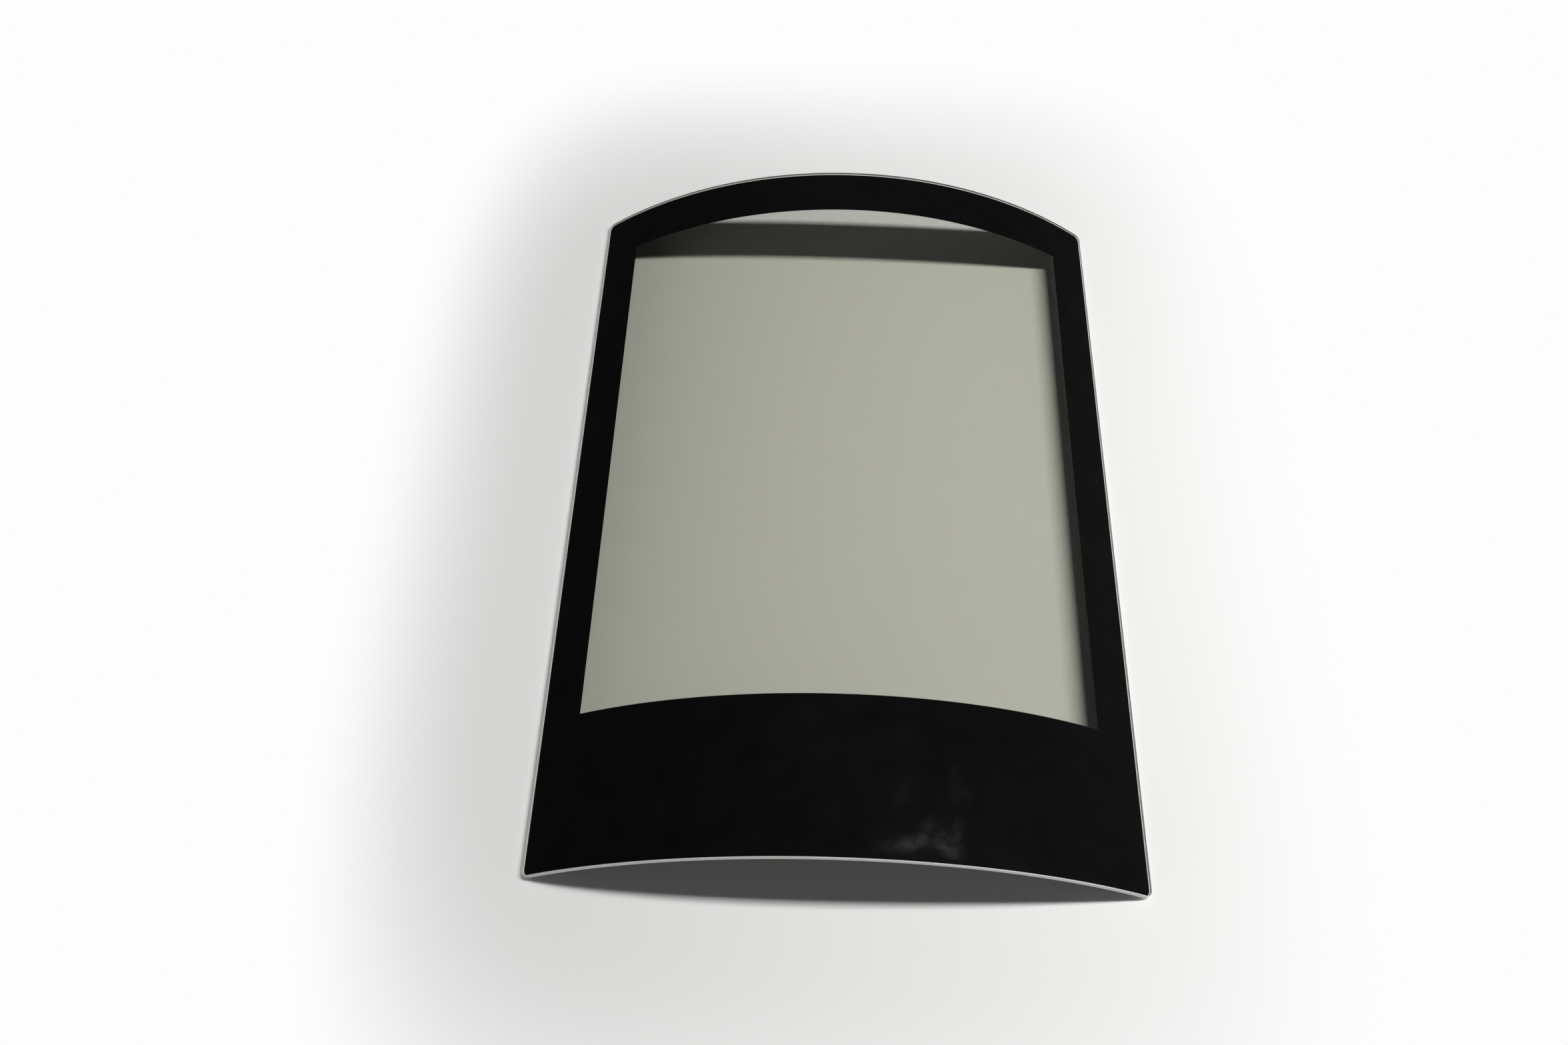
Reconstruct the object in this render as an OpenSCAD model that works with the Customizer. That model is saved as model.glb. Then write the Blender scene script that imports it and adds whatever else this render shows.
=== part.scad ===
// Bent viewing pane for a stove or fireplace door.
// A sheet of heat-resistant glass is curved round one axis. A black border is fired onto
// its concave face and leaves a clear window, with the wide margin at the near end.
// The pane lies with its convex face up: X across the bend, Y along the straight edges.

/* [Glass] */
// Straight width across the two side edges, on the convex face
pane_w = 365; // [240:1:480]
// Length of the straight side edges
pane_l = 506; // [300:1:800]
// Thickness of the glass
glass_t = 4; // [3:0.5:8]
// Bend radius of the convex face
bend_r = 300; // [260:1:600]
// Radius of the four corners of the sheet
corner_r = 5; // [3:0.5:15]
// Chamfer ground along the straight edges, the curved edges and the corners
arris = 0.5; // [0.2:0.1:1.2]

/* [Printed border] */
// Width of the border along each side edge
border_side = 30; // [10:0.5:80]
// Width of the border along the far end
border_far = 35; // [10:0.5:100]
// Width of the border along the near end
border_near = 95.5; // [10:0.5:130]
// Bare rim between the print and the edge of the glass
rim = 1; // [0.8:0.1:2]
// Thickness of the fired print
print_t = 0.3; // [0.1:0.05:0.4]
// Hair of clearance between the print and the glass that it is fired onto
print_gap = 0.05; // [0.05:0.01:0.1]
// Radius of the window's corners
window_r = 0.5; // [0.5:0.5:10]

/* [Hidden] */
$fn = 96;
// How far a cutter reaches past what it cuts
over = 0.5;
// The concave face, which carries the print
inner_r = bend_r - glass_t;
// The two faces of the print
print_outer_r = inner_r - print_gap;
print_inner_r = print_outer_r - print_t;
// Angle from the crown to a side edge
half_angle = asin(pane_w / 2 / bend_r);
// The lower of the two lines that the chamfer of a side edge leaves, above the bend axis
foot_z = min(
    inner_r * cos(half_angle) + arris * sin(half_angle),
    (inner_r + arris) * cos(half_angle)
);
near_y = -pane_l / 2;
far_y = pane_l / 2;

// Angle that a length along the concave face takes up
function arc_angle(arc) = arc / inner_r * 180 / PI;

// Tube about the bend axis, a little longer than the pane
module bent_layer(r0, r1) {
    rotate([90, 0, 0])
        difference() {
            cylinder(r = r1, h = pane_l + 2 * over, center = true);
            cylinder(r = r0, h = pane_l + 4 * over, center = true);
        }
}

// Tube about the bend axis, as long as the pane, with both rims of each end chamfered
module ground_layer(r0, r1, chamfer) {
    rotate([90, 0, 0])
        rotate_extrude()
            polygon([
                [r0 + chamfer, near_y], [r1 - chamfer, near_y],
                [r1, near_y + chamfer], [r1, far_y - chamfer],
                [r1 - chamfer, far_y], [r0 + chamfer, far_y],
                [r0, far_y - chamfer], [r0, near_y + chamfer]
            ]);
}

// Strip from y0 to y1 that ends at x = 0 with two rounded corners
module rounded_strip(reach, y0, y1, r) {
    translate([-reach, y0])
        square([reach - r, y1 - y0]);
    translate([-r - over, y0 + r])
        square([r + over, y1 - y0 - 2 * r]);
    for (y = [y0 + r, y1 - r])
        translate([-r, y])
            circle(r);
}

// All that lies inside one side edge, whose face is a plane through the bend axis
module inside_edge(half, y0, y1, r) {
    reach = 2 * bend_r;
    rotate([0, half, 0])
        translate([0, 0, -reach])
            linear_extrude(height = 2 * reach)
                rounded_strip(reach, y0, y1, r);
}

// Keeps its children between two side edges and two ends, with rounded corners
module bent_outline(half, y0, y1, r) {
    intersection() {
        children();
        inside_edge(half, y0, y1, r);
        mirror([1, 0, 0])
            inside_edge(half, y0, y1, r);
    }
}

// Section of what the two chamfers of an edge take off: X leaves the sheet at the edge, Y is radial
module chamfer_section(r0, r1, chamfer, edge_x) {
    translate([edge_x, 0]) {
        polygon([[-chamfer - over, r1 + over], [over, r1 - chamfer - over], [over, r1 + over]]);
        polygon([[-chamfer - over, r0 - over], [over, r0 - over], [over, r0 + chamfer + over]]);
    }
}

// What the chamfers along one side edge take off: Z is radial, X leaves the sheet
module side_chamfers(r0, r1, chamfer) {
    rotate([90, 0, 0])
        linear_extrude(height = pane_l + 2 * over, center = true)
            chamfer_section(r0, r1, chamfer, 0);
}

// What the chamfers round one corner take off, about the axis of the corner
module corner_chamfers(r0, r1, chamfer, r) {
    rotate_extrude(angle = 90)
        chamfer_section(r0, r1, chamfer, r);
}

// What grinding takes off one side edge and the two corners at its ends
module ground_side(r0, r1, chamfer) {
    side_chamfers(r0, r1, chamfer);
    for (end = [0, 1])
        mirror([0, end, 0])
            translate([-corner_r, far_y - corner_r, 0])
                corner_chamfers(r0, r1, chamfer, corner_r);
}

// The black print: one closed frame on the concave face
module enamel_border() {
    color([0.03, 0.03, 0.03])
        translate([0, 0, -foot_z])
            difference() {
                bent_outline(half_angle - arc_angle(rim), near_y + rim, far_y - rim, corner_r - rim)
                    bent_layer(print_inner_r, print_outer_r);
                bent_outline(
                    half_angle - arc_angle(border_side), near_y + border_near, far_y - border_far, window_r
                )
                    bent_layer(print_inner_r - over, print_outer_r + over);
            }
}

// The bent glass, with rounded corners and ground edges
module glass_pane() {
    color([0.82, 0.81, 0.74, 0.35])
        translate([0, 0, -foot_z])
            difference() {
                bent_outline(half_angle, near_y, far_y, corner_r)
                    ground_layer(inner_r, bend_r, arris);
                for (side = [0, 1])
                    mirror([side, 0, 0])
                        rotate([0, half_angle, 0])
                            ground_side(inner_r, bend_r, arris);
            }
}

enamel_border();
glass_pane();
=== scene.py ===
import math

import bmesh
import bpy
from mathutils import Matrix, Vector


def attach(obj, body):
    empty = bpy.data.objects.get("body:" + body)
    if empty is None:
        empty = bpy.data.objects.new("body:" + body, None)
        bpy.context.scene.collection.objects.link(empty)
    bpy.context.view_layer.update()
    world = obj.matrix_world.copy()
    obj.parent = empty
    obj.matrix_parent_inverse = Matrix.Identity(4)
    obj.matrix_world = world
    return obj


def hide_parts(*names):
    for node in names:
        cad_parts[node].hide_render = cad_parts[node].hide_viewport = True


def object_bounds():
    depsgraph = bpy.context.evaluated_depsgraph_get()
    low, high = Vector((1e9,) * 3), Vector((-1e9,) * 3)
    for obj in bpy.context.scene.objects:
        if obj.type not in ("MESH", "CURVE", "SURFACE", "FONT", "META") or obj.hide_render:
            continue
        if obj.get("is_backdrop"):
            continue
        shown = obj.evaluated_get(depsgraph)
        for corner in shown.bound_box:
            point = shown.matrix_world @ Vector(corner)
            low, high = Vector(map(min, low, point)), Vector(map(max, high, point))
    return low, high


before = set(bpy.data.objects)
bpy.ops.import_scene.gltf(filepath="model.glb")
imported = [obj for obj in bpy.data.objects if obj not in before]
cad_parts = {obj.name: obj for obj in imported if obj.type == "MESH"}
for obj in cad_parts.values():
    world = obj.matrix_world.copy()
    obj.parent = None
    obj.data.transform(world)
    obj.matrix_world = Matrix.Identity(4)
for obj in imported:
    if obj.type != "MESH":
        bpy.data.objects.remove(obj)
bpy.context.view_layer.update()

# The sheet, in metres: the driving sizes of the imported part
PANE_W = 0.365
PANE_L = 0.506
GLASS_T = 0.004
BEND_R = 0.300
CORNER_R = 0.005
ARRIS = 0.0005

# The printed border, measured along the concave face. It runs out to the ground arris
BORDER_SIDE = 0.030
BORDER_FAR = 0.035
BORDER_NEAR = 0.0955
RIM = ARRIS
WINDOW_R = 0.0005

# How far the print reaches into the concave face, so that they touch all over, and how far it stands proud
PRINT_SUNK = 0.00002
PRINT_PROUD = 0.00012

# What follows from these sizes
INNER_R = BEND_R - GLASS_T
HALF_ANGLE = math.asin(PANE_W / 2 / BEND_R)
FOOT_Z = min(
    INNER_R * math.cos(HALF_ANGLE) + ARRIS * math.sin(HALF_ANGLE),
    (INNER_R + ARRIS) * math.cos(HALF_ANGLE),
)
HALF_ARC = BEND_R * HALF_ANGLE
NEAR_Y = -PANE_L / 2
FAR_Y = PANE_L / 2

# How finely the meshes are cut
CELLS_ACROSS = 96
CELLS_ALONG = 80
CORNER_STEPS = 5
ARRIS_STEPS = 4
BORDER_RINGS = 8
SHARP_ANGLE = math.radians(30)

# Long, shallow waves that the bending leaves in the sheet: height, waves per metre across and along, phase
RIPPLES = (
    (0.000012, 9.0, 3.0, 0.4),
    (0.000009, 4.0, 11.0, 1.9),
    (0.000005, 17.0, 7.0, 4.1),
)

# The part of a noise's range that most of it lies in
NOISE_MIDDLE = (0.3, 0.7)

# The glass: its index, its tint to the eye, and the tint of light that falls through one surface
GLASS_IOR = 1.53
GLASS_TINT = (0.620, 0.627, 0.579, 1.0)
SHADOW_TINT = (0.967, 0.967, 0.926)

# Its polish: waves per metre, how they are drawn out, the part of the noise that counts, and the roughness
POLISH_WAVES = 14.0
POLISH_STRETCH = (1.0, 0.35, 1.0)
POLISH_PART = (0.45, 0.75)
POLISH_ROUGHNESS = (0.0, 0.06)

# Share of a lamp's light that each surface passes, by how far it is turned from the lamp
SLANT_SHARES = (
    (0.0, 1.0), (0.13, 0.981), (0.35, 0.945), (0.5, 0.9), (0.61, 0.85), (0.74, 0.765), (1.0, 0.3)
)

# What wiping leaves: the gloss of streaks and smear, and the streaks' waves, part of the noise and haze
SMEAR_ROUGHNESS = 0.37
STREAK_WAVES = 9.0
STREAK_DETAIL = 6.0
STREAK_STRETCH = (1.0, 0.3, 1.0)
STREAK_PART = (0.5, 0.75)
STREAK_HAZE = (0.0, 0.02)

# The wisps inside the smear: waves per metre, twist, part of the noise, and the share of haze they leave
WISP_WAVES = 180.0
WISP_TWIST = 0.6
WISP_PART = (0.35, 0.65)
WISP_SHARE = (0.3, 1.0)

# How deep the smear's spots reach, and the spots: place across and along the sheet, half length, half width,
# turn in degrees, haze
SPOT_DEPTH = 0.03
SMEAR_SPOTS = (
    (0.0330, -0.2447, 0.018, 0.0060, 5.0, 0.065),
    (0.0400, -0.2425, 0.011, 0.0055, 20.0, 0.080),
    (0.0478, -0.2350, 0.011, 0.0050, 68.0, 0.060),
    (0.0560, -0.2385, 0.015, 0.0120, 0.0, 0.045),
    (0.0605, -0.2433, 0.011, 0.0080, -35.0, 0.110),
    (0.0648, -0.2345, 0.011, 0.0055, 79.0, 0.055),
    (0.0346, -0.2149, 0.013, 0.0070, 60.0, 0.028),
    (0.0647, -0.2051, 0.013, 0.0055, 80.0, 0.028),
    (0.0697, -0.2138, 0.013, 0.0065, 45.0, 0.024),
    (0.0357, -0.1804, 0.015, 0.0080, 60.0, 0.014),
    (0.1057, -0.2461, 0.016, 0.0090, 30.0, 0.018),
)

# The ground edge: its dark and light grain, waves per metre, roughness, height, and how far light gets in
EDGE_DARK = (0.74, 0.75, 0.72)
EDGE_LIGHT = (0.90, 0.91, 0.88)
EDGE_WAVES = 900.0
EDGE_DETAIL = 6.0
EDGE_ROUGHNESS = (0.45, 0.7)
EDGE_GRAIN = 0.00004
EDGE_TRANSMISSION = 0.25

# The print as it shows through the glass: its dark and light mottle, waves per metre and roughness
COVERED_DARK = (0.0028, 0.0027, 0.0032)
COVERED_LIGHT = (0.0046, 0.0044, 0.0052)
COVERED_WAVES = 60.0
COVERED_DETAIL = 8.0
COVERED_ROUGHNESS = (0.5, 0.7)

# The print's bare face: its dark and light mottle, waves per metre and roughness, its shine, and its grain
BARE_DARK = (0.008, 0.0078, 0.0074)
BARE_LIGHT = (0.015, 0.0146, 0.014)
BARE_WAVES = 45.0
BARE_DETAIL = 6.0
BARE_ROUGHNESS = (0.28, 0.42)
BARE_SPECULAR = 0.12
BARE_GRAIN_WAVES = 1800.0
BARE_GRAIN_DETAIL = 2.0
BARE_GRAIN = 0.00001

# The room that the glass mirrors: its grey from the left, 0, to the right, 1. Its light side lies to the
# left, behind the camera: the way there, how much lighter it is, and where it turns lighter
ROOM_GREYS = ((0.2, 0.025), (0.5, 0.044), (0.8, 0.026), (0.95, 0.055))
LIGHT_SIDE = (-0.76, -0.65, 0.0)
LIGHT_SIDE_GAIN = 50.0
LIGHT_SIDE_TURN = (0.74, 0.94)

# The white backdrop, and the heights between which it fades where the glass mirrors it or lets it through,
# as sines of the angle above the table
BACKDROP = (0.98, 0.98, 0.98, 1.0)
MIRRORED_TOP = (0.0, 0.012)
THROUGH_TOP = (0.1, 0.2)

# The table top: its colour and roughness, half its side, and how far out it fades into the backdrop. The way
# out is in half panes, squared, so that the fade keeps near to the pane's outline
FLOOR_COLOUR = (0.80, 0.80, 0.79, 1.0)
FLOOR_ROUGHNESS = 0.9
FLOOR_HALF = 9.0
FLOOR_FADE = (1.25, 3.2)

# The camera, fitted to the photograph, whose width and focal length are in pixels
CAMERA_AT = (-0.0211, -0.4397, 0.7398)
CAMERA_HEADING = math.radians(2.203)
CAMERA_DOWN = math.radians(59.753)
CAMERA_ROLL = math.radians(-0.316)
SENSOR_W = 36.0
IMAGE_W = 2352
FOCAL_PX = 1900

# The lamp: a long strip that hangs level over the table, to the right, with its power in watts
LAMP_AT = (1.01, -0.005, 1.75)
LAMP_L = 1.43
LAMP_W = 0.154
LAMP_POWER = 46.6


def ripple(arc, y):
    """Height of the sheet's waves at one place."""
    return sum(
        height * math.sin(math.tau * (across * arc + along * y) + phase)
        for height, across, along, phase in RIPPLES
    )


def bent(arc, y, depth):
    """Point of the bent sheet: arc runs along the convex face, depth goes down from it."""
    angle = arc / BEND_R
    radius = BEND_R - depth + ripple(arc, y)
    return Vector((radius * math.sin(angle), y, radius * math.cos(angle) - FOOT_Z))


def on_convex(arc):
    """Length along the convex face that covers the same angle as a length along the concave one."""
    return arc * BEND_R / INNER_R


def arc_points(centre, radius, start, end):
    """Points on a part of a circle, in degrees."""
    steps = [start + (end - start) * i / CORNER_STEPS for i in range(CORNER_STEPS + 1)]
    return [
        (
            centre[0] + radius * math.cos(math.radians(a)),
            centre[1] + radius * math.sin(math.radians(a)),
        )
        for a in steps
    ]


def straight_points(a, b, cells):
    """Points between two others, without those two."""
    return [
        (a[0] + (b[0] - a[0]) * i / cells, a[1] + (b[1] - a[1]) * i / cells)
        for i in range(1, cells)
    ]


def joined(first, second, cells):
    """Two corner arcs and the straight run between them."""
    return first + straight_points(first[-1], second[0], cells) + second


def outline_sides(half, y0, y1, radius):
    """The near, right, far and left side of a rounded rectangle, cut at the middle of its corners."""
    left_x, right_x = radius - half, half - radius
    low_y, high_y = y0 + radius, y1 - radius
    near = joined(
        arc_points((left_x, low_y), radius, 225, 270),
        arc_points((right_x, low_y), radius, 270, 315),
        CELLS_ACROSS,
    )
    right = joined(
        arc_points((right_x, low_y), radius, -45, 0),
        arc_points((right_x, high_y), radius, 0, 45),
        CELLS_ALONG,
    )
    far = joined(
        arc_points((left_x, high_y), radius, 135, 90),
        arc_points((right_x, high_y), radius, 90, 45),
        CELLS_ACROSS,
    )
    left = joined(
        arc_points((left_x, low_y), radius, 225, 180),
        arc_points((left_x, high_y), radius, 180, 135),
        CELLS_ALONG,
    )
    return near, right, far, left


def as_loop(near, right, far, left):
    """The four sides as one closed loop."""
    return near[:-1] + right[:-1] + far[:0:-1] + left[:0:-1]


def blended_grid(near, right, far, left):
    """Rows of points that fill the four sides smoothly."""
    columns, rows = len(near) - 1, len(left) - 1

    def blended(i, j, axis):
        u, v = i / columns, j / rows
        across = (1 - u) * left[j][axis] + u * right[j][axis]
        along = (1 - v) * near[i][axis] + v * far[i][axis]
        bottom = (1 - u) * near[0][axis] + u * near[-1][axis]
        top = (1 - u) * far[0][axis] + u * far[-1][axis]
        return across + along - (1 - v) * bottom - v * top

    return [
        [(blended(i, j, 0), blended(i, j, 1)) for i in range(columns + 1)]
        for j in range(rows + 1)
    ]


def add_ring(bm, loop, depth):
    """One closed ring of vertices."""
    return [bm.verts.new(bent(arc, y, depth)) for arc, y in loop]


def bridge(bm, upper, lower, material):
    """A band of faces between two rings."""
    for i, start in enumerate(upper):
        after = (i + 1) % len(upper)
        face = bm.faces.new((start, lower[i], lower[after], upper[after]))
        face.material_index = material


def add_face_grid(bm, sides, depth, material):
    """One face of the sheet. Returns its rim as a ring of vertices."""
    rows = [[bm.verts.new(bent(arc, y, depth)) for arc, y in row] for row in blended_grid(*sides)]
    for below, above in zip(rows, rows[1:]):
        for i in range(len(below) - 1):
            face = bm.faces.new((below[i], below[i + 1], above[i + 1], above[i]))
            face.material_index = material
    return as_loop(rows[0], [r[-1] for r in rows], rows[-1], [r[0] for r in rows])


def finish_piece(bm, name, node, materials):
    """Turns the mesh into a piece that stands for its node."""
    bmesh.ops.recalc_face_normals(bm, faces=bm.faces)
    for face in bm.faces:
        face.smooth = True
    for edge in bm.edges:
        a, b = edge.link_faces
        edge.smooth = a.material_index == b.material_index and edge.calc_face_angle() < SHARP_ANGLE
    mesh = bpy.data.meshes.new(name)
    bm.to_mesh(mesh)
    bm.free()
    for material in materials:
        mesh.materials.append(material)
    piece = bpy.data.objects.new(name, mesh)
    bpy.context.collection.objects.link(piece)
    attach(piece, "root")
    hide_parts(node)


def glass_sheet():
    """The bent glass: two polished faces and a ground edge with rounded arrises, corners included."""
    polished, ground = 0, 1
    bm = bmesh.new()
    inset_sides = outline_sides(HALF_ARC - ARRIS, NEAR_Y + ARRIS, FAR_Y - ARRIS, CORNER_R - ARRIS)
    upper = add_face_grid(bm, inset_sides, 0.0, polished)
    lower = add_face_grid(bm, inset_sides, GLASS_T, polished)
    turns = [math.pi / 2 * i / ARRIS_STEPS for i in range(1, ARRIS_STEPS + 1)]
    profile = [(ARRIS * (1 - math.sin(a)), ARRIS * (1 - math.cos(a))) for a in turns]
    profile += [(inset, GLASS_T - depth) for inset, depth in reversed(profile)]
    above = upper
    for inset, depth in profile:
        loop = as_loop(*outline_sides(HALF_ARC - inset, NEAR_Y + inset, FAR_Y - inset, CORNER_R - inset))
        ring = add_ring(bm, loop, depth)
        bridge(bm, above, ring, ground)
        above = ring
    bridge(bm, above, lower, ground)
    finish_piece(bm, "glass_sheet", "glass_pane", [clear_glass(), ground_edge()])


def border_loops():
    """Loops of the print, from the edge of its window out to its outer edge."""
    window_half = on_convex(INNER_R * HALF_ANGLE - BORDER_SIDE)
    window_near = NEAR_Y + BORDER_NEAR
    window_far = FAR_Y - BORDER_FAR
    window = as_loop(*outline_sides(window_half, window_near, window_far, WINDOW_R))
    outer = as_loop(*outline_sides(
        HALF_ARC - on_convex(RIM), NEAR_Y + RIM, FAR_Y - RIM, CORNER_R - RIM
    ))
    return [
        [
            (a[0] + (b[0] - a[0]) * i / BORDER_RINGS, a[1] + (b[1] - a[1]) * i / BORDER_RINGS)
            for a, b in zip(window, outer)
        ]
        for i in range(BORDER_RINGS + 1)
    ]


def printed_border():
    """The fired print: one closed frame in contact with the concave face."""
    through_glass, bare = 0, 1
    bm = bmesh.new()
    loops = border_loops()
    upper = [add_ring(bm, loop, GLASS_T - PRINT_SUNK) for loop in loops]
    lower = [add_ring(bm, loop, GLASS_T + PRINT_PROUD) for loop in loops]
    for rings, material in ((upper, through_glass), (lower, bare)):
        for inside, outside in zip(rings, rings[1:]):
            bridge(bm, inside, outside, material)
    for above, below in ((upper[0], lower[0]), (upper[-1], lower[-1])):
        bridge(bm, above, below, bare)
    materials = [enamel_through_glass(), enamel_bare()]
    finish_piece(bm, "printed_border", "enamel_border", materials)


def new_material(name):
    """An empty node material, its nodes and its links."""
    material = bpy.data.materials.new(name)
    material.use_nodes = True
    tree = material.node_tree
    tree.nodes.clear()
    return material, tree.nodes, tree.links


def add_noise(nodes, links, scale, detail=4.0, stretch=(1.0, 1.0, 1.0), twist=0.0):
    """Noise in the piece's own space, its scale in waves per metre. Returns its output."""
    coordinates = nodes.new("ShaderNodeTexCoord")
    mapping = nodes.new("ShaderNodeMapping")
    mapping.inputs["Scale"].default_value = stretch
    noise = nodes.new("ShaderNodeTexNoise")
    noise.inputs["Scale"].default_value = scale
    noise.inputs["Detail"].default_value = detail
    noise.inputs["Distortion"].default_value = twist
    links.new(coordinates.outputs["Object"], mapping.inputs["Vector"])
    links.new(mapping.outputs["Vector"], noise.inputs["Vector"])
    return noise.outputs["Fac"]


def to_range(nodes, links, value, span, part=NOISE_MIDDLE, steps="LINEAR"):
    """Maps a part of a value's range, for a noise its middle, to a span of numbers."""
    node = nodes.new("ShaderNodeMapRange")
    node.interpolation_type = steps
    node.inputs["From Min"].default_value, node.inputs["From Max"].default_value = part
    node.inputs["To Min"].default_value, node.inputs["To Max"].default_value = span
    links.new(value, node.inputs["Value"])
    return node.outputs["Result"]


def add_ramp(nodes, links, value, stops):
    """Maps a value to colours that stand at stops from 0 to 1."""
    ramp = nodes.new("ShaderNodeValToRGB")
    elements = ramp.color_ramp.elements
    elements.remove(elements[1])
    (elements[0].position, first), *others = stops
    elements[0].color = (*first, 1.0)
    for position, colour in others:
        elements.new(position).color = (*colour, 1.0)
    links.new(value, ramp.inputs["Fac"])
    return ramp.outputs["Color"]


def to_colours(nodes, links, value, dark, light):
    """Maps the middle of a noise to a run between two colours."""
    return add_ramp(nodes, links, value, zip(NOISE_MIDDLE, (dark, light)))


def add_bump(nodes, links, value, height):
    """Bump of a height in metres."""
    bump = nodes.new("ShaderNodeBump")
    bump.inputs["Strength"].default_value = 1.0
    bump.inputs["Distance"].default_value = height
    links.new(value, bump.inputs["Height"])
    return bump.outputs["Normal"]


def add_surface(nodes, **values):
    """A Principled node with these constants on its own sockets."""
    shader = nodes.new("ShaderNodeBsdfPrincipled")
    for name, value in values.items():
        shader.inputs[name.replace("_", " ")].default_value = value
    return shader


def set_output(nodes, links, surface):
    """Makes a shader the material's surface."""
    output = nodes.new("ShaderNodeOutputMaterial")
    links.new(surface, output.inputs["Surface"])


def combined(nodes, links, operation, *values):
    """A Math node over outputs and plain numbers. Returns its output."""
    node = nodes.new("ShaderNodeMath")
    node.operation = operation
    for socket, value in zip(node.inputs, values):
        if isinstance(value, float):
            socket.default_value = value
        else:
            links.new(value, socket)
    return node.outputs["Value"]


def soft_spot(nodes, links, place, size, turn):
    """A turned spot that fades from 1 at its place to 0 at its rim."""
    coordinates = nodes.new("ShaderNodeTexCoord")
    mapping = nodes.new("ShaderNodeMapping")
    mapping.vector_type = "TEXTURE"
    mapping.inputs["Location"].default_value = place
    mapping.inputs["Rotation"].default_value = (0.0, 0.0, turn)
    mapping.inputs["Scale"].default_value = size
    spot = nodes.new("ShaderNodeTexGradient")
    spot.gradient_type = "SPHERICAL"
    links.new(coordinates.outputs["Object"], mapping.inputs["Vector"])
    links.new(mapping.outputs["Vector"], spot.inputs["Vector"])
    return spot.outputs["Fac"]


def wiped_smears(nodes, links):
    """Where the glass was wiped: faint streaks all over and one smear on the near border."""
    streaks = add_noise(nodes, links, STREAK_WAVES, detail=STREAK_DETAIL, stretch=STREAK_STRETCH)
    faint = to_range(nodes, links, streaks, STREAK_HAZE, STREAK_PART)
    smear = 0.0
    for arc, y, length, width, turn, haze in SMEAR_SPOTS:
        size = (length, width, SPOT_DEPTH)
        spot = soft_spot(nodes, links, bent(arc, y, 0.0), size, math.radians(turn))
        smear = combined(nodes, links, "MULTIPLY_ADD", spot, haze, smear)
    wisps = add_noise(nodes, links, WISP_WAVES, twist=WISP_TWIST)
    share = to_range(nodes, links, wisps, WISP_SHARE, WISP_PART)
    return combined(nodes, links, "MULTIPLY_ADD", smear, share, faint)


def let_light_through(nodes, links):
    """What a lamp's light passes: less of it where it meets the sheet at a slant."""
    clear = nodes.new("ShaderNodeBsdfTransparent")
    slant = nodes.new("ShaderNodeLayerWeight")
    slant.inputs["Blend"].default_value = 0.5
    stops = [(turn, [share * tint for tint in SHADOW_TINT]) for turn, share in SLANT_SHARES]
    links.new(add_ramp(nodes, links, slant.outputs["Facing"], stops), clear.inputs["Color"])
    return clear.outputs["BSDF"]


def clear_glass():
    """Clear glass with wiped smears, which lets lamps through."""
    material, nodes, links = new_material("clear_glass")
    glass = add_surface(
        nodes, Base_Color=GLASS_TINT, IOR=GLASS_IOR, Transmission_Weight=1.0, Coat_Roughness=SMEAR_ROUGHNESS
    )
    links.new(wiped_smears(nodes, links), glass.inputs["Coat Weight"])
    polish = add_noise(nodes, links, POLISH_WAVES, stretch=POLISH_STRETCH)
    links.new(to_range(nodes, links, polish, POLISH_ROUGHNESS, POLISH_PART), glass.inputs["Roughness"])
    path = nodes.new("ShaderNodeLightPath")
    passed = let_light_through(nodes, links)
    surface = glass.outputs["BSDF"]
    for ray in ("Is Diffuse Ray", "Is Shadow Ray"):
        mix = nodes.new("ShaderNodeMixShader")
        links.new(path.outputs[ray], mix.inputs["Fac"])
        links.new(surface, mix.inputs[1])
        links.new(passed, mix.inputs[2])
        surface = mix.outputs["Shader"]
    set_output(nodes, links, surface)
    return material


def ground_edge():
    """The seamed edge: pale, matt and finely grained."""
    material, nodes, links = new_material("ground_edge")
    edge = add_surface(nodes, IOR=GLASS_IOR, Transmission_Weight=EDGE_TRANSMISSION)
    grain = add_noise(nodes, links, EDGE_WAVES, detail=EDGE_DETAIL)
    links.new(to_colours(nodes, links, grain, EDGE_DARK, EDGE_LIGHT), edge.inputs["Base Color"])
    links.new(to_range(nodes, links, grain, EDGE_ROUGHNESS), edge.inputs["Roughness"])
    links.new(add_bump(nodes, links, grain, EDGE_GRAIN), edge.inputs["Normal"])
    set_output(nodes, links, edge.outputs["BSDF"])
    return material


def enamel_through_glass():
    """The print as it shows through the glass, with no gloss of its own."""
    material, nodes, links = new_material("enamel_through_glass")
    enamel = add_surface(nodes, Specular_IOR_Level=0.0)
    mottle = add_noise(nodes, links, COVERED_WAVES, detail=COVERED_DETAIL)
    links.new(to_colours(nodes, links, mottle, COVERED_DARK, COVERED_LIGHT), enamel.inputs["Base Color"])
    links.new(to_range(nodes, links, mottle, COVERED_ROUGHNESS), enamel.inputs["Roughness"])
    set_output(nodes, links, enamel.outputs["BSDF"])
    return material


def enamel_bare():
    """The print's own face under the pane: satin, with the fine grain of a screen print."""
    material, nodes, links = new_material("enamel_bare")
    enamel = add_surface(nodes, Specular_IOR_Level=BARE_SPECULAR)
    mottle = add_noise(nodes, links, BARE_WAVES, detail=BARE_DETAIL)
    grain = add_noise(nodes, links, BARE_GRAIN_WAVES, detail=BARE_GRAIN_DETAIL)
    links.new(to_colours(nodes, links, mottle, BARE_DARK, BARE_LIGHT), enamel.inputs["Base Color"])
    links.new(to_range(nodes, links, mottle, BARE_ROUGHNESS), enamel.inputs["Roughness"])
    links.new(add_bump(nodes, links, grain, BARE_GRAIN), enamel.inputs["Normal"])
    set_output(nodes, links, enamel.outputs["BSDF"])
    return material


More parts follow.
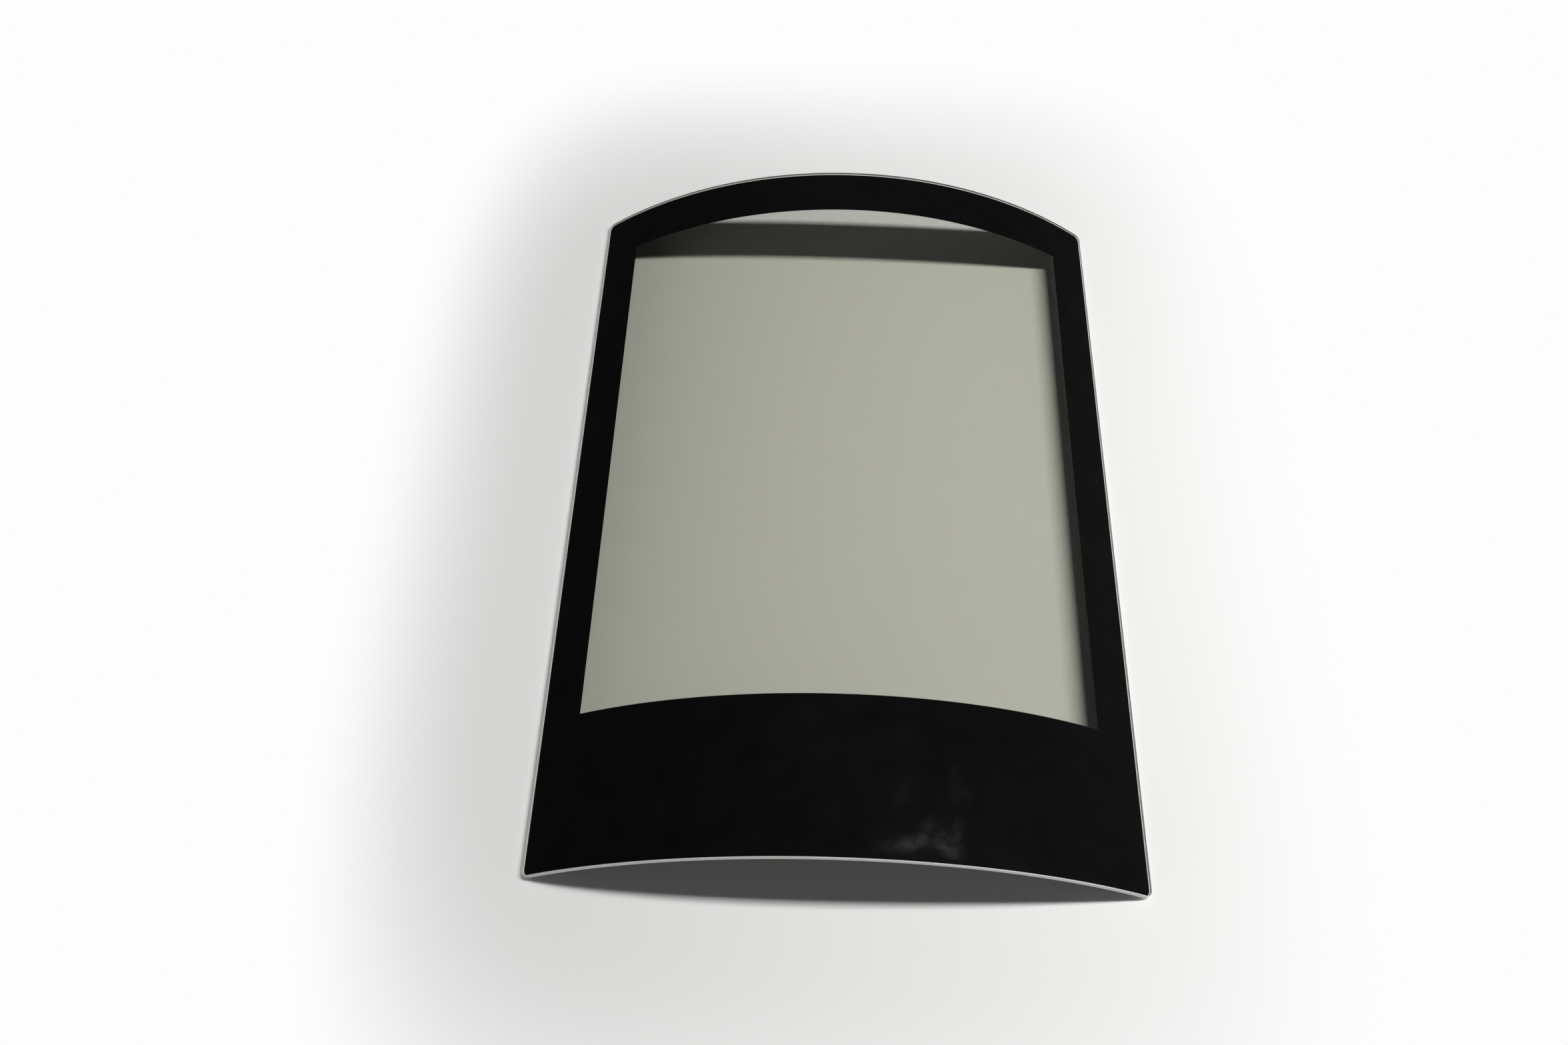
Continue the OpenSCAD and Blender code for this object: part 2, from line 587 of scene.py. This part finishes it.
def faded_table():
    """A pale table that fades into the backdrop where it is seen directly, mirrored or through glass."""
    material, nodes, links = new_material("pale_floor")
    table = add_surface(
        nodes, Base_Color=FLOOR_COLOUR, Roughness=FLOOR_ROUGHNESS, Specular_IOR_Level=0.0
    )
    coordinates = nodes.new("ShaderNodeTexCoord")
    half_panes = nodes.new("ShaderNodeMapping")
    half_panes.vector_type = "TEXTURE"
    half_panes.inputs["Scale"].default_value = (PANE_W / 2, PANE_L / 2, 1.0)
    squares = nodes.new("ShaderNodeVectorMath")
    squares.operation = "MULTIPLY"
    distance = nodes.new("ShaderNodeVectorMath")
    distance.operation = "LENGTH"
    links.new(coordinates.outputs["Object"], half_panes.inputs["Vector"])
    for factor in squares.inputs[:2]:
        links.new(half_panes.outputs["Vector"], factor)
    links.new(squares.outputs["Vector"], distance.inputs[0])
    away = to_range(nodes, links, distance.outputs["Value"], (0.0, 1.0), FLOOR_FADE, steps="SMOOTHSTEP")
    path = nodes.new("ShaderNodeLightPath")
    seen = path.outputs["Is Camera Ray"]
    for ray in ("Is Glossy Ray", "Is Transmission Ray"):
        seen = combined(nodes, links, "MAXIMUM", seen, path.outputs[ray])
    backdrop = nodes.new("ShaderNodeEmission")
    backdrop.inputs["Color"].default_value = BACKDROP
    mix = nodes.new("ShaderNodeMixShader")
    links.new(combined(nodes, links, "MULTIPLY", seen, away), mix.inputs["Fac"])
    links.new(table.outputs["BSDF"], mix.inputs[1])
    links.new(backdrop.outputs["Emission"], mix.inputs[2])
    set_output(nodes, links, mix.outputs["Shader"])
    return material


def pale_floor():
    """A plain table top at the part's lowest point."""
    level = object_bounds()[0][2]
    corners = [(x * FLOOR_HALF, y * FLOOR_HALF, level) for x, y in ((-1, -1), (1, -1), (1, 1), (-1, 1))]
    mesh = bpy.data.meshes.new("floor")
    mesh.from_pydata(corners, [], [(0, 1, 2, 3)])
    mesh.materials.append(faded_table())
    plane = bpy.data.objects.new("floor", mesh)
    bpy.context.collection.objects.link(plane)
    plane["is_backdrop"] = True


def strip_lamp():
    """One long soft lamp, level above the table."""
    lamp = bpy.data.lights.new("strip_lamp", "AREA")
    lamp.shape = "RECTANGLE"
    lamp.size = LAMP_L
    lamp.size_y = LAMP_W
    lamp.energy = LAMP_POWER
    holder = bpy.data.objects.new("strip_lamp", lamp)
    bpy.context.collection.objects.link(holder)
    holder.location = LAMP_AT


def dim_room():
    """A dim room for the glass to mirror, and a white backdrop behind the table."""
    world = bpy.data.worlds.new("dim_room")
    bpy.context.scene.world = world
    world.use_nodes = True
    nodes, links = world.node_tree.nodes, world.node_tree.links
    nodes.clear()
    coordinates = nodes.new("ShaderNodeTexCoord")
    axes = nodes.new("ShaderNodeSeparateXYZ")
    links.new(coordinates.outputs["Generated"], axes.inputs["Vector"])
    rightward = combined(nodes, links, "MULTIPLY_ADD", axes.outputs["X"], 0.5, 0.5)
    greys = [(place, (grey, grey, grey)) for place, grey in ROOM_GREYS]
    room = nodes.new("ShaderNodeBackground")
    links.new(add_ramp(nodes, links, rightward, greys), room.inputs["Color"])
    towards = nodes.new("ShaderNodeVectorMath")
    towards.operation = "DOT_PRODUCT"
    towards.inputs[1].default_value = LIGHT_SIDE
    links.new(coordinates.outputs["Generated"], towards.inputs[0])
    gain = to_range(nodes, links, towards.outputs["Value"], (1.0, LIGHT_SIDE_GAIN), LIGHT_SIDE_TURN)
    links.new(gain, room.inputs["Strength"])
    path = nodes.new("ShaderNodeLightPath")
    views = [path.outputs["Is Camera Ray"]]
    for ray, top in (("Is Transmission Ray", THROUGH_TOP), ("Is Glossy Ray", MIRRORED_TOP)):
        low = to_range(nodes, links, axes.outputs["Z"], (1.0, 0.0), top)
        views.append(combined(nodes, links, "MULTIPLY", path.outputs[ray], low))
    surface = room.outputs["Background"]
    for seen in views:
        backdrop = nodes.new("ShaderNodeBackground")
        backdrop.inputs["Color"].default_value = BACKDROP
        mix = nodes.new("ShaderNodeMixShader")
        links.new(seen, mix.inputs["Fac"])
        links.new(surface, mix.inputs[1])
        links.new(backdrop.outputs["Background"], mix.inputs[2])
        surface = mix.outputs["Shader"]
    output = nodes.new("ShaderNodeOutputWorld")
    links.new(surface, output.inputs["Surface"])


def camera():
    """The photograph's view."""
    lens = bpy.data.cameras.new("camera")
    lens.sensor_fit = "HORIZONTAL"
    lens.sensor_width = SENSOR_W
    lens.lens = FOCAL_PX / IMAGE_W * SENSOR_W
    holder = bpy.data.objects.new("camera", lens)
    bpy.context.collection.objects.link(holder)
    turn = Matrix.Rotation(CAMERA_HEADING, 4, "Z")
    tilt = Matrix.Rotation(math.pi / 2 - CAMERA_DOWN, 4, "X")
    roll = Matrix.Rotation(CAMERA_ROLL, 4, "Z")
    holder.matrix_world = Matrix.Translation(CAMERA_AT) @ turn @ tilt @ roll
    bpy.context.scene.camera = holder


camera()
glass_sheet()
printed_border()
pale_floor()
strip_lamp()
dim_room()
bpy.context.scene.view_settings.view_transform = "Standard"
